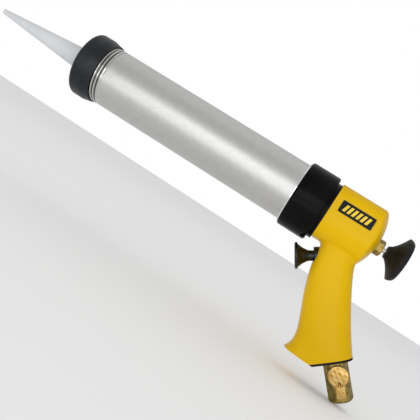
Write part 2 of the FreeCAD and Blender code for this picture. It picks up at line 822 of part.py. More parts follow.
def throttle_gland():
    """Hexagonal nut with a plain shank that fills the throttle bore, and a groove for its seal."""
    bore = THROTTLE_STEM_R + RUN
    groove = gland_face - GLAND_SHANK / 2
    hexed = hexagon(gland_face, gland_back, GLAND_HEX, throttle_axis, REARWARD)
    envelope = on_throttle([
        (gland_face, 0),
        (gland_face, gland_corner_r),
        (gland_back - GLAND_CHAMFER, gland_corner_r),
        (gland_back, gland_corner_r - GLAND_CHAMFER),
        (gland_back, 0),
    ])
    body = hexed.common(envelope)
    shank = rod(gland_face - GLAND_SHANK, gland_face, THROTTLE_BORE_R, throttle_axis)
    body = body.fuse(shank).removeSplitter()
    body = body.cut(rod(gland_face - GLAND_SHANK, gland_back, bore, throttle_axis))
    return body.cut(rod(groove - RING_R, groove + RING_R, bore + 2 * RING_R, throttle_axis))


def gland_oring():
    along = gland_face - GLAND_SHANK / 2
    return torus(along, THROTTLE_STEM_R + RUN + RING_R, RING_R, throttle_axis)


def needle_shoulder():
    """Shoulder of the swivel needle when the throttle is open."""
    return throttle_front + THROTTLE_TRAVEL + FREE


def throttle_needle():
    """Needle that closes the orifice; the stem swivels in its socket."""
    shoulder = needle_shoulder()
    back = shoulder + NEEDLE_LENGTH
    nose_r = ORIFICE_R - FREE
    socket_r = THROTTLE_STEM_R + RUN
    points = [
        (shoulder - ORIFICE_LENGTH, 0),
        (shoulder - ORIFICE_LENGTH, nose_r / 2),
        (shoulder, nose_r),
        (shoulder, THROTTLE_BORE_R - 2 * FREE),
        (back, THROTTLE_BORE_R - 2 * FREE),
        (back, socket_r),
        (back - NEEDLE_SOCKET, socket_r),
        (back - NEEDLE_SOCKET, 0),
    ]
    return on_throttle(points, {4: NEEDLE_EDGE})


def knob_back():
    return knob_front + KNOB_LENGTH


def stem_back():
    return knob_back() - KNOB_SCREW_HEAD - SEAT


def throttle_stem():
    front = needle_shoulder() + NEEDLE_LENGTH - NEEDLE_SOCKET + SEAT
    back = stem_back()
    body = rod(front, back, THROTTLE_STEM_R, throttle_axis)
    return body.cut(rod(back - KNOB_SCREW_LENGTH - SEAT, back, KNOB_SCREW_R, throttle_axis))


def throttle_knob():
    """Trumpet knob: a neck that swells to a collar, flares to a rounded rim and closes in a gentle dome."""
    waist = (KNOB_COLLAR_R - KNOB_NECK_R) * KNOB_WAIST_SHARE
    points = [
        (knob_front, THROTTLE_STEM_R),
        (knob_front, KNOB_NECK_R),
        (knob_front + KNOB_WAIST_AT, KNOB_NECK_R + waist),
        (knob_front + KNOB_COLLAR_AT, KNOB_COLLAR_R),
        (knob_front + KNOB_RIM_AT, KNOB_R),
        (knob_front + KNOB_EDGE_AT, KNOB_EDGE_R),
        (knob_back(), KNOB_EDGE_R / 2),
        (knob_back(), KNOB_SCREW_HEAD_R + FREE),
        (stem_back(), KNOB_SCREW_HEAD_R + FREE),
        (stem_back(), THROTTLE_STEM_R),
    ]
    return on_throttle(points, {2: KNOB_ROUND, 3: KNOB_ROUND, 4: KNOB_ROUND, 5: KNOB_ROUND, 6: KNOB_EDGE_R})


def knob_screw():
    back = knob_back() - SEAT
    head = rod(stem_back(), back, KNOB_SCREW_HEAD_R, throttle_axis)
    shank = rod(stem_back() - KNOB_SCREW_LENGTH, stem_back(), KNOB_SCREW_R, throttle_axis)
    slot = Part.makeBox(KNOB_SLOT, 2 * KNOB_SCREW_HEAD_R, KNOB_SLOT)
    slot.translate(Vector(back - KNOB_SLOT, -KNOB_SCREW_HEAD_R, THROTTLE_Z - KNOB_SLOT / 2))
    return head.fuse(shank).removeSplitter().cut(slot)


def inlet_gasket():
    """Flat gasket with the outline of the grip's slanted face."""
    slab = below_inlet_face(0).cut(below_inlet_face(INLET_GASKET))
    body = grip_block().common(slab)
    return body.cut(rod(0, INLET_GASKET, INLET_SPIGOT_R, inlet_face, INLET_WAY))


def inlet_body():
    corner_r = INLET_HEX / math.sqrt(3)
    hexed = hexagon(INLET_GASKET, inlet_bottom, INLET_HEX, inlet_face, INLET_WAY)
    envelope = turned([
        (INLET_GASKET, 0),
        (INLET_GASKET, corner_r),
        (inlet_bottom - INLET_CHAMFER, corner_r),
        (inlet_bottom, corner_r - INLET_CHAMFER),
        (inlet_bottom, 0),
    ], None, inlet_face, INLET_WAY)
    groove = -INLET_SPIGOT / 2
    body = hexed.common(envelope)
    body = body.fuse(rod(-INLET_SPIGOT, INLET_GASKET, INLET_SPIGOT_R, inlet_face, INLET_WAY))
    body = body.removeSplitter()
    body = body.cut(rod(-INLET_SPIGOT, inlet_bottom, AIRWAY_R, inlet_face, INLET_WAY))
    thread_top = inlet_bottom - INLET_THREAD_LENGTH
    body = body.cut(rod(thread_top, inlet_bottom, INLET_THREAD_R, inlet_face, INLET_WAY))
    body = body.cut(ring(groove - RING_R, groove + RING_R, INLET_SPIGOT_R, INLET_SPIGOT_R - 2 * RING_R,
                         inlet_face, INLET_WAY))
    return body.cut(rod(-INLET_HEX / 2, INLET_HEX / 2, SPINDLE_R + RUN, lever_face, ACROSS))


def inlet_oring():
    return torus(-INLET_SPIGOT / 2, INLET_SPIGOT_R - RING_R, RING_R, inlet_face, INLET_WAY)


def lever_front():
    """Distance of the lever's outer face on the -Y side."""
    return INLET_HEX / 2 + LEVER_GAP + LEVER_THICKNESS


def flow_spindle():
    """Plug of the shut-off valve, bored across, with grooves for its seal and its clip."""
    near = -lever_front() + LEVER_THICKNESS - LEVER_SOCKET
    groove = clip_groove()
    far = groove + 2 * CLIP_THICKNESS
    body = rod(near, far, SPINDLE_R, lever_face, ACROSS)
    clip_r = SPINDLE_R - CLIP_GROOVE
    body = body.cut(ring(groove, groove + CLIP_THICKNESS, SPINDLE_R, clip_r, lever_face, ACROSS))
    seal = spindle_seal()
    seal_r = SPINDLE_R - 2 * RING_R
    body = body.cut(ring(seal - RING_R, seal + RING_R, SPINDLE_R, seal_r, lever_face, ACROSS))
    return body.cut(rod(-SPINDLE_R, SPINDLE_R, SPINDLE_PORT_R, lever_face, INLET_WAY))


def clip_groove():
    """Distance of the spindle clip's near face on the +Y side."""
    return INLET_HEX / 2 + FREE


def spindle_seal():
    """Distance of the spindle's seal, inside the inlet's near flat."""
    return -INLET_HEX / 2 + SPINDLE_SEAL_AT


def spindle_oring():
    return torus(spindle_seal(), SPINDLE_R - RING_R, RING_R, lever_face, ACROSS)


def spindle_clip():
    inner = SPINDLE_R - CLIP_GROOVE
    whole = ring(clip_groove(), clip_groove() + CLIP_THICKNESS, CLIP_R, inner, lever_face, ACROSS)
    mouth = Part.makeBox(CLIP_R, CLIP_THICKNESS, CLIP_MOUTH)
    mouth.translate(lever_face + Vector(0, clip_groove(), -CLIP_MOUTH / 2))
    return whole.cut(mouth)


def flow_lever():
    """Thick disc, notched towards its thinner tab, which points down the inlet when the air is on."""
    front = -lever_front()
    back = front + LEVER_THICKNESS
    disc = rod(front, back, LEVER_R, lever_face, ACROSS)
    disc = disc.makeChamfer(LEVER_EDGE, [edge for edge in disc.Edges if edge.BoundBox.YMax < front + SEAT])
    tab = Part.makeBox(TAB_REACH, TAB_THICKNESS, TAB_WIDTH, Vector(0, 0, -TAB_WIDTH / 2))
    tab = placed(tab, lever_face + ACROSS * (back - TAB_THICKNESS), INLET_WAY)
    tab = tab.makeFillet(TAB_ROUND, [edge for edge in tab.Edges if at_tab_end(edge)])
    body = disc.fuse(tab).removeSplitter()
    body = body.cut(rod(back - LEVER_SOCKET, back, SPINDLE_R, lever_face, ACROSS))
    notch_from = Vector(LEVER_R - LEVER_EDGE - NOTCH_LENGTH, 0, -NOTCH_WIDTH / 2)
    notch = Part.makeBox(NOTCH_LENGTH, NOTCH_DEPTH, NOTCH_WIDTH, notch_from)
    return body.cut(placed(notch, lever_face + ACROSS * front, INLET_WAY))


def at_tab_end(edge):
    """True for the two short edges across the tab's thickness at its free end."""
    middle = edge.CenterOfMass - lever_face
    return middle.dot(INLET_WAY) > TAB_REACH - 0.01 and edge.BoundBox.YLength > TAB_THICKNESS - 0.01


PIECES = [
    nozzle, front_cap, front_seal, barrel_tube, retaining_ring, barrel_gasket, slip_sleeve, ring_nut,
    head_adapter, adapter_gasket, adapter_screws, piston_plunger, piston_seal, piston_plate, piston_screw,
    handle_body, nameplate, trigger_button, trigger_bush, stem_oring, valve_seat, poppet_disc, trigger_stem,
    valve_spring, throttle_gland, gland_oring, throttle_needle, throttle_stem, throttle_knob, knob_screw,
    inlet_gasket, inlet_body, inlet_oring, flow_spindle, spindle_oring, spindle_clip, flow_lever,
]

os.makedirs("parts", exist_ok=True)
for piece in PIECES:
    shape = piece()
    print(piece.__name__, "solids", len(shape.Solids), "valid", shape.isValid())
    shape.exportStep(f"parts/{piece.__name__}.step")
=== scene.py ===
import bmesh
import bpy
import json
import math
import numpy as np
from mathutils import Matrix, Vector


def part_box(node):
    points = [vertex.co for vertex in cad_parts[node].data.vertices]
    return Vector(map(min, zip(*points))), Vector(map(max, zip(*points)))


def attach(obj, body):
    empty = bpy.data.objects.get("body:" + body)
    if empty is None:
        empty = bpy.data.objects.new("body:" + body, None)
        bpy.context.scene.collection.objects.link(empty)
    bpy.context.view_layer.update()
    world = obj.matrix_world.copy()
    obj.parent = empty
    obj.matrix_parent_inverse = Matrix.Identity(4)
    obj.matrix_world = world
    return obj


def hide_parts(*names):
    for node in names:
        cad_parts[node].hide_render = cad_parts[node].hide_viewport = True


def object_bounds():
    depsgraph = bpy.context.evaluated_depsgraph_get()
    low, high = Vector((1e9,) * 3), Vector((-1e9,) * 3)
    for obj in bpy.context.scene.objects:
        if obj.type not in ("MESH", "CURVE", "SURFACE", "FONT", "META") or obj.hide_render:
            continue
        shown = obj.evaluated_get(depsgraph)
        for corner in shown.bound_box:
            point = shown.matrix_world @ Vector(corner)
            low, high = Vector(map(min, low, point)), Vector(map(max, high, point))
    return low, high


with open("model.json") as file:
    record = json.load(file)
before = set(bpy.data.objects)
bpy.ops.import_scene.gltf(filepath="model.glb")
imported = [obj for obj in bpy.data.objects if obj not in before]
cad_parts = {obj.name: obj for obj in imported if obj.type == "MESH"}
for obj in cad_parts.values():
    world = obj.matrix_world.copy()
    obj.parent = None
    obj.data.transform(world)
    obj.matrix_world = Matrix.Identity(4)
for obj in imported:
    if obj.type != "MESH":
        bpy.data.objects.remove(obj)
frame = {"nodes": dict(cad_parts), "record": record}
cadLow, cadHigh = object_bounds()
print("frame loaded,", len(frame["nodes"]), "CAD nodes")

mm = 0.001
tau = 2 * math.pi
mounts = {mount["name"]: mount for mount in frame["record"]["mounts"]}


# a shader socket that can be used in arithmetic: every operator adds a Math node
class Signal:
    def __init__(self, graph, socket):
        self.graph = graph
        self.socket = socket

    def math(self, operation, *others, clamp=False):
        values = dict(enumerate((self,) + others))
        return self.graph.add("ShaderNodeMath", {"operation": operation, "use_clamp": clamp}, values)

    def __add__(self, other):
        return self.math("ADD", other)

    def __radd__(self, other):
        return self.math("ADD", other)

    def __mul__(self, other):
        return self.math("MULTIPLY", other)

    def __rmul__(self, other):
        return self.math("MULTIPLY", other)

    def __sub__(self, other):
        return self.math("SUBTRACT", other)

    def __rsub__(self, other):
        return self.math("MULTIPLY_ADD", -1.0, other)

    def __pow__(self, other):
        return self.math("POWER", other)

    def clamp(self):
        return self.math("ADD", 0.0, clamp=True)

    # 0 below low, 1 above high and a smooth step between
    def step(self, low, high):
        settings = {"interpolation_type": "SMOOTHSTEP"}
        sockets = {"Value": self, "From Min": low, "From Max": high}
        return self.graph.add("ShaderNodeMapRange", settings, sockets)


# a material's node tree, with one method that adds any node
class Graph:
    def __init__(self, name):
        self.material = bpy.data.materials.new(name)
        self.material.use_nodes = True
        self.tree = self.material.node_tree
        self.tree.nodes.clear()
        self.place = self.add("ShaderNodeTexCoord", out="Object")

    # settings, which are the node's own properties, go on before the sockets' values and links
    def add(self, kind, settings=None, sockets=None, out=0):
        node = self.tree.nodes.new(kind)
        for name, value in (settings or {}).items():
            setattr(node, name, value)
        for name, value in (sockets or {}).items():
            if isinstance(value, Signal):
                self.tree.links.new(value.socket, node.inputs[name])
            else:
                node.inputs[name].default_value = value
        return Signal(self, node.outputs[out]) if len(node.outputs) else None

    def noise(self, scale, detail=3.0, roughness=0.5):
        return self.add("ShaderNodeTexNoise", None,
                        {"Vector": self.place, "Scale": scale, "Detail": detail, "Roughness": roughness})

    def mix(self, factor, first, second):
        sockets = {0: factor, 6: rgba(first), 7: rgba(second)}
        return self.add("ShaderNodeMix", {"data_type": "RGBA"}, sockets, out=2)

    def bump(self, height, strength, distance):
        sockets = {"Height": height, "Strength": strength, "Distance": distance}
        return self.add("ShaderNodeBump", None, sockets)

    # the surface shader and the output
    def finish(self, **sockets):
        names = {name.replace("_", " "): value for name, value in sockets.items()}
        colour = names.get("Base Color")
        if not isinstance(colour, Signal):
            names["Base Color"] = rgba(colour)
        surface = self.add("ShaderNodeBsdfPrincipled", None, names)
        self.add("ShaderNodeOutputMaterial", None, {"Surface": surface})
        return self.material


def rgba(colour):
    return colour if isinstance(colour, Signal) else (*colour[:3], 1.0)


def paintedFinish(name, look):
    g = Graph(name)
    broad = g.noise(look["blotch"], 3.0)
    fine = g.noise(look["grain"], 4.0, 0.6)
    colour = g.mix(broad.step(0.3, 0.7), look["dark"], look["light"])
    rough = look["rough"] + (broad - 0.5) * look["roughSpread"]
    relief = g.bump(fine, look["bump"], look["depth"])
    return g.finish(Base_Color=colour, Roughness=rough, Normal=relief,
                    Coat_Weight=look["coat"], Coat_Roughness=look["coatRough"],
                    Specular_IOR_Level=look["shine"])


def brassFinish(name, look):
    g = Graph(name)
    broad = g.noise(look["blotch"], 4.0, 0.6)
    grain = g.noise(look["grain"], 3.0, 0.6)
    colour = g.mix(broad.step(0.32, 0.68), look["dark"], look["light"])
    rough = look["rough"] + (grain - 0.5) * 0.25
    relief = g.bump(grain, look["bump"], look["depth"])
    return g.finish(Base_Color=colour, Metallic=1.0, Roughness=rough.clamp(), Normal=relief)


def metalFinish(name, look):
    g = Graph(name)
    grain = g.noise(look["grain"], 4.0, 0.6)
    broad = g.noise(look["blotch"], 2.0)
    colour = g.mix(broad, look["dark"], look["light"])
    rough = look["rough"] + (grain - 0.5) * look["roughSpread"]
    relief = g.bump(grain, look["bump"], look["depth"])
    return g.finish(Base_Color=colour, Metallic=1.0, Roughness=rough.clamp(), Normal=relief)


# satin tube with a smoother machined thread, and painted shade: a near-black colour in the thread's roots
def barrelFinish(name, look):
    g = Graph(name)
    low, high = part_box("barrel_tube")
    threadEnd = low.x + look["threadLength"]
    outside = high.z
    grain = g.noise(look["grain"], 4.0, 0.6)
    broad = g.noise(look["blotch"], 2.0)
    along = g.add("ShaderNodeSeparateXYZ", None, {"Vector": g.place}, out="X")
    across = g.add("ShaderNodeSeparateXYZ", None, {"Vector": g.place}, out="Y")
    up = g.add("ShaderNodeSeparateXYZ", None, {"Vector": g.place}, out="Z")
    radius = (across * across + up * up) ** 0.5
    plain = along.step(threadEnd - 1 * mm, threadEnd + 1 * mm)
    crest = radius.step(outside - look["rootDepth"], outside - 0.1 * mm)
    unshaded = (plain + crest).clamp()
    # painted shade: the thread's roots, away from the crests and the plain tube, are coloured near-black
    colour = g.mix(unshaded, look["rootShade"], g.mix(broad, look["dark"], look["light"]))
    rough = look["rough"] + (grain - 0.5) * look["roughSpread"]
    rough = rough * (look["threadRough"] + plain * (1 - look["threadRough"]))
    relief = g.bump(grain, look["bump"], look["depth"])
    return g.finish(Base_Color=colour, Metallic=1.0, Roughness=rough.clamp(), Normal=relief)


def plasticFinish(name, look):
    g = Graph(name)
    fine = g.noise(look["grain"], 4.0, 0.6)
    broad = g.noise(look["blotch"], 2.0)
    colour = g.mix(broad.step(0.3, 0.7), look["dark"], look["light"])
    rough = look["rough"] + (fine - 0.5) * look["roughSpread"]
    relief = g.bump(fine, look["bump"], look["depth"])
    return g.finish(Base_Color=colour, Roughness=rough.clamp(), Normal=relief,
                    Specular_IOR_Level=look["shine"])


yellowPaint = {"dark": (0.71, 0.425, 0.001), "light": (0.79, 0.485, 0.0012), "blotch": 14, "grain": 420,
               "rough": 0.28, "roughSpread": 0.12, "bump": 0.12, "depth": 0.00015,
               "coat": 0.04, "coatRough": 0.14,
               "shine": 0.10}
capPaint = {"dark": (0.004, 0.006, 0.008), "light": (0.008, 0.011, 0.014), "blotch": 30, "grain": 2600,
            "rough": 0.40, "roughSpread": 0.10, "bump": 0.14, "depth": 0.00006, "coat": 0.0, "coatRough": 0.2,
            "shine": 0.34}
nutPaint = {"dark": (0.002, 0.002, 0.002), "light": (0.005, 0.005, 0.005), "blotch": 30, "grain": 1800,
            "rough": 0.17, "roughSpread": 0.08, "bump": 0.08, "depth": 0.00004,
            "coat": 0.03, "coatRough": 0.12,
            "shine": 0.045}
# the barrel's near-black third colour is painted shade for the thread's roots
barrelMetal = {"dark": (0.52, 0.52, 0.51), "light": (0.63, 0.63, 0.62), "blotch": 260, "grain": 1500,
               "rough": 0.41, "roughSpread": 0.22, "bump": 0.22, "depth": 0.00005,
               "threadLength": 24 * mm, "threadRough": 0.5, "rootDepth": 0.7 * mm, "rootShade": (0.10, 0.09, 0.08)}
steelMetal = {"dark": (0.80, 0.80, 0.81), "light": (0.92, 0.92, 0.92), "blotch": 80, "grain": 2500,
              "rough": 0.12, "roughSpread": 0.08, "bump": 0.05, "depth": 0.00002}
zincMetal = {"dark": (0.45, 0.45, 0.44), "light": (0.6, 0.6, 0.58), "blotch": 200, "grain": 3000,
             "rough": 0.30, "roughSpread": 0.10, "bump": 0.08, "depth": 0.00002}
oliveBrass = {"dark": (0.15, 0.10, 0.018), "light": (0.36, 0.27, 0.075), "blotch": 160, "grain": 1600,
              "rough": 0.34, "bump": 0.25, "depth": 0.00006}
castBrass = {"dark": (0.44, 0.27, 0.075), "light": (0.66, 0.45, 0.17), "blotch": 240, "grain": 1400,
             "rough": 0.26, "bump": 0.35, "depth": 0.00012}
nozzlePlastic = {"dark": (0.60, 0.62, 0.64), "light": (0.68, 0.69, 0.71), "blotch": 25, "grain": 1200,
                 "rough": 0.42, "roughSpread": 0.08, "bump": 0.05, "depth": 0.00004, "shine": 0.3}
triggerPlastic = {"dark": (0.003, 0.003, 0.003), "light": (0.006, 0.006, 0.006), "blotch": 60, "grain": 2200,
                  "rough": 0.16, "roughSpread": 0.06, "bump": 0.05, "depth": 0.00003, "shine": 0.45}
knobPlastic = {"dark": (0.008, 0.007, 0.006), "light": (0.016, 0.014, 0.012), "blotch": 120, "grain": 2600,
               "rough": 0.50, "roughSpread": 0.12, "bump": 0.25, "depth": 0.00006, "shine": 0.16}
rubber = {"dark": (0.008, 0.008, 0.008), "light": (0.016, 0.016, 0.016), "blotch": 90, "grain": 2400,
          "rough": 0.68, "roughSpread": 0.10, "bump": 0.2, "depth": 0.00005, "shine": 0.15}
nylon = {"dark": (0.62, 0.61, 0.56), "light": (0.70, 0.69, 0.64), "blotch": 60, "grain": 1800,
         "rough": 0.45, "roughSpread": 0.10, "bump": 0.1, "depth": 0.00004, "shine": 0.4}
plateInk = {"dark": (0.004, 0.004, 0.004), "light": (0.008, 0.008, 0.008), "blotch": 100, "grain": 2200,
            "rough": 0.28, "roughSpread": 0.06, "bump": 0.05, "depth": 0.00003, "shine": 0.12}
markInk = {"dark": (0.78, 0.52, 0.02), "light": (0.90, 0.64, 0.05), "blotch": 100, "grain": 2200,
           "rough": 0.30, "roughSpread": 0.06, "bump": 0.05, "depth": 0.00003, "shine": 0.3}

finishes = {
    "yellow_paint": paintedFinish("yellowEnamel", yellowPaint),
    "cap_black": paintedFinish("capBlack", capPaint),
    "nut_black": paintedFinish("nutBlack", nutPaint),
    "adapter_black": paintedFinish("adapterBlack", nutPaint),
    "barrel_aluminium": barrelFinish("barrelAluminium", barrelMetal),
    "polished_steel": metalFinish("polishedSteel", steelMetal),
    "screw_steel": metalFinish("zincScrew", zincMetal),
    "olive_brass": brassFinish("oliveBrass", oliveBrass),
    "bright_brass": brassFinish("castBrass", castBrass),
    "nozzle_plastic": plasticFinish("nozzlePolythene", nozzlePlastic),
    "trigger_plastic": plasticFinish("triggerGloss", triggerPlastic),
    "knob_plastic": plasticFinish("knobCharcoal", knobPlastic),
    "seal_rubber": plasticFinish("nitrileRubber", rubber),
    "piston_plastic": plasticFinish("pistonNylon", nylon),
    "plate_black": plasticFinish("plateInk", plateInk),
}
print("finishes made:", len(finishes))

for part in frame["record"]["subparts"]:
    node = frame["nodes"][part["node"]]
    node.data.materials.clear()
    node.data.materials.append(finishes[part["material_slot"]])
print("CAD nodes finished")


# a smooth step from 0 to 1 as value goes from low to high
def smoothStep(value, low, high):
    t = np.clip((value - low) / (high - low), 0, 1)
    return t * t * (3 - 2 * t)


# quads between neighbouring points of a grid, wrapped in the ways asked for; firstIndex is its first vertex
def gridFaces(rows, columns, wrapRows=False, wrapColumns=True, firstIndex=0):
    row = np.arange(rows if wrapRows else rows - 1)[:, None]
    column = np.arange(columns if wrapColumns else columns - 1)[None, :]
    nextRow = (row + 1) % rows
    nextColumn = (column + 1) % columns
    corners = [row * columns + column, row * columns + nextColumn,
               nextRow * columns + nextColumn, nextRow * columns + column]
    return np.stack(corners, axis=-1).reshape(-1, 4) + firstIndex


# an object from point and face arrays, with doubled points merged, which also closes the poles
def newPiece(name, points, faces, finish, sharpAngle=0.6):
    mesh = bpy.data.meshes.new(name)
    mesh.from_pydata(points.reshape(-1, 3).tolist(), [], faces.tolist())
    work = bmesh.new()
    work.from_mesh(mesh)
    bmesh.ops.remove_doubles(work, verts=work.verts, dist=1e-7)
    work.to_mesh(mesh)
    work.free()
    mesh.shade_smooth()
    mesh.set_sharp_from_angle(angle=sharpAngle)
    mesh.materials.append(finish)
    piece = bpy.data.objects.new(name, mesh)
    bpy.context.scene.collection.objects.link(piece)
    return piece


# three unit directions: the axis, and two square to it
def axisFrame(way):
    way = np.array(way, float)
    way = way / np.linalg.norm(way)
    side = np.array((0.0, 1.0, 0.0)) if abs(way[1]) < 0.9 else np.array((1.0, 0.0, 0.0))
    side = side - way * (side @ way)
    side = side / np.linalg.norm(side)
    return way, side, np.cross(way, side)


# points at a distance along an axis, a radius from it and an angle about it:
# start + along * way + radius * (cos, sin)
def turnedPoints(along, radius, angle, start, way):
    way, side, up = axisFrame(way)
    along, radius, angle = np.broadcast_arrays(along, radius, angle)
    return (np.array(start) + along[..., None] * way + (radius * np.cos(angle))[..., None] * side
            + (radius * np.sin(angle))[..., None] * up)


barrel = {
    "around": 256,
    "pitch": 3.3 * mm,
    "threadLength": 24 * mm,
    "threadDepth": 0.8 * mm,
    "samplesPerTurn": 16,
    "valley": (0.12, 0.38),  # in pitches from a valley's middle: where its wall starts and where it ends
    "plainRings": 12,
    "wall": 2.0 * mm,
    "grooveDepth": 0.8 * mm,
    "edge": 0.25 * mm,
}


def barrelTube():
    # radius = outside radius - thread depth * valley(phase), where phase runs once per pitch and once per
    # turn, so that the valleys wind round the tube as a helix; the bore comes back as the wall's inside
    low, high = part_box("barrel_tube")
    ringLow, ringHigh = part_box("retaining_ring")
    front, back, outside = low.x, high.x, high.z
    edge = barrel["edge"]
    turns = barrel["threadLength"] / barrel["pitch"]
    thread = np.linspace(front + edge, front + barrel["threadLength"], int(turns * barrel["samplesPerTurn"]))
    plain = np.linspace(thread[-1], ringLow.x, barrel["plainRings"])[1:-1]
    groove = [ringLow.x, ringLow.x, ringHigh.x, ringHigh.x]
    tail = [back - edge, back]
    outer = np.concatenate([[front], thread, plain, groove, tail])
    base = np.full(len(outer), outside)
    base[0] = base[-1] = outside - edge
    base[-5:-3] = outside - barrel["grooveDepth"]
    inner = np.array([back, back - edge, (front + back) / 2, front + edge, front])
    bore = outside - barrel["wall"]
    innerRadius = np.array([bore + edge, bore, bore, bore, bore + edge])
    along = np.concatenate([outer, inner])[:, None]
    radius = np.concatenate([base, innerRadius])[:, None]
    angle = np.linspace(0, tau, barrel["around"], endpoint=False)[None, :]
    phase = ((along - front) / barrel["pitch"] - angle / tau) % 1
    valley = 1 - smoothStep(np.abs(phase - 0.5), *barrel["valley"])
    threadEnd = front + barrel["threadLength"]
    runOut = 1 - smoothStep(along, threadEnd - barrel["pitch"], threadEnd)
    threaded = np.zeros(len(along))
    threaded[1:1 + len(thread)] = 1
    radius = radius - barrel["threadDepth"] * valley * runOut * threaded[:, None]
    points = turnedPoints(along, radius, angle, (0, 0, 0), (1, 0, 0))
    faces = gridFaces(*radius.shape, wrapRows=True)
    piece = newPiece("barrelTube", points, faces, finishes["barrel_aluminium"])
    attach(piece, "gun_body")
    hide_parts("barrel_tube")


barrelTube()
print("barrel made")


inlet = {
    "around": 16,            # samples across each flat
    "acrossFlats": 19 * mm,
    "hexLength": 35.4 * mm,
    "chamfer": 2.2 * mm,
    "gasket": 2.0 * mm,
    "spigotLength": 13 * mm,
    "spigotRadius": 6.5 * mm,
    "sealWidth": 1.5 * mm,
    "airwayRadius": 3.0 * mm,
    "threadPitch": 1.337 * mm,
    "threadDepth": 0.55 * mm,
    "threadRings": 12,       # rings in each turn of the thread
    "crest": (0.05, 0.45),   # where a thread's flank starts and ends, in pitches
    "blunt": 0.12 * mm,      # how much the hexagon's corners are cut back
    "sharpAngle": 0.45,
}


def hexInlet():
    # outside radius = half the flats' distance / cos(angle from the nearest flat's middle), cut off by a
    # cone at the mouth; the bore's radius swells by the thread depth in a helix near the mouth
    mount = mounts["air_inlet"]
    way = np.array(mount["axis"])
    mouth = np.array(mount["pos_m"])
    boreRadius = mount["dims"]["r_mm"] * mm
    threadLength = mount["dims"]["length_mm"] * mm
    length = inlet["hexLength"]
    half = inlet["acrossFlats"] / 2
    cornerRadius = half / math.cos(tau / 12)
    flat = np.linspace(-1, 1, inlet["around"], endpoint=False) * tau / 12
    angle = (np.arange(6)[:, None] * tau / 6 + flat[None, :]).ravel()[None, :]
    fromFlat = (angle + tau / 12) % (tau / 6) - tau / 12
    hexRadius = half / np.cos(fromFlat)
    hexRadius = np.minimum(hexRadius, cornerRadius - inlet["blunt"])
    chamfer = inlet["chamfer"]
    spigot, seal = inlet["spigotRadius"], inlet["sealWidth"]
    sealMiddle = -length - inlet["gasket"] - inlet["spigotLength"] / 2
    # stations from the spigot's end to the mouth, as (along, largest radius)
    outer = [(-length - inlet["gasket"] - inlet["spigotLength"], spigot),
             (sealMiddle - seal / 2, spigot), (sealMiddle - seal / 2, spigot - seal),
             (sealMiddle + seal / 2, spigot - seal), (sealMiddle + seal / 2, spigot), (-length, spigot),
             (-length, cornerRadius)]
    outer += [(-length + share * (length - chamfer), cornerRadius) for share in (0.004, 0.3, 0.6, 1.0)]
    outer += [(-chamfer * (1 - share), cornerRadius - chamfer * share) for share in (0.25, 0.5, 0.75, 1.0)]
    turns = threadLength / inlet["threadPitch"]
    thread = np.linspace(0, -threadLength, int(turns * inlet["threadRings"]))
    outerAlong = np.array([station[0] for station in outer])[:, None]
    outerRadius = np.minimum(hexRadius, np.array([station[1] for station in outer])[:, None])
    phase = (thread[:, None] / inlet["threadPitch"] - angle / tau) % 1
    crest = smoothStep(np.abs(phase - 0.5), *inlet["crest"])
    depth = inlet["threadDepth"] * smoothStep(-thread, 0, inlet["threadPitch"])[:, None]
    threadRadius = boreRadius + inlet["threadDepth"] - depth * crest
    innerAlong = np.array([-threadLength, outer[0][0]])[:, None]
    innerRadius = np.full((2, angle.shape[1]), inlet["airwayRadius"])
    along = np.concatenate([outerAlong, thread[:, None], innerAlong])
    radius = np.concatenate([outerRadius, threadRadius, innerRadius])
    points = turnedPoints(along, radius, angle, mouth, way)
    faces = gridFaces(*radius.shape, wrapRows=True)
    piece = newPiece("inletHex", points, faces, finishes["olive_brass"], inlet["sharpAngle"])
    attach(piece, "gun_body")
    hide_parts("inlet_body")


hexInlet()
print("inlet made")


lever = {
    "discRadius": 9.0 * mm,
    "discThickness": 3.6 * mm,
    "discRings": 22,
    "discAround": 96,
    "rim": 0.7 * mm,
    "crown": 0.25 * mm,
    "lump": 0.09 * mm,
    "discLumps": 2.2 * mm,   # size of one lump on the disc, and on the tab
    "tabLumps": 2.6 * mm,
    "notchWidth": 1.9 * mm,
    "notchLength": 4.6 * mm,
    "notchDepth": 2.4 * mm,
    "dimple": 0.55 * mm,
    "dimpleAcross": 3.6 * mm,
    "dimpleAlong": 4.6 * mm,
    "dimpleEdge": (0.2 * mm, 0.9 * mm),
    "tabReach": 19.2 * mm,
    "tabWidth": 8.6 * mm,
    "tabThickness": 2.4 * mm,
    "tabRound": 0.9 * mm,
    "tabStart": 0.86,        # share of the disc's radius where the tab begins
    "tabRings": 26,
    "tabAround": 64,
    "boxy": 0.28,            # power of the sine and cosine: 1 is an ellipse and 0 a rectangle
    "sharpAngle": 0.9,
}


# the uneven skin of a sand casting: a sum of crossed sine waves, from -1 to 1
def castLumps(across, along, size):
    u = across / size
    v = along / size
    waves = np.sin(2.1 * u + 1.3 * v) + np.sin(-1.7 * u + 2.9 * v + 1.1) + np.sin(3.7 * u - 0.8 * v + 2.3)
    waves = waves + 0.6 * np.sin(5.3 * u + 4.1 * v + 0.7) + 0.6 * np.sin(4.7 * v - 6.1 * u + 1.9)
    return waves / 4.2


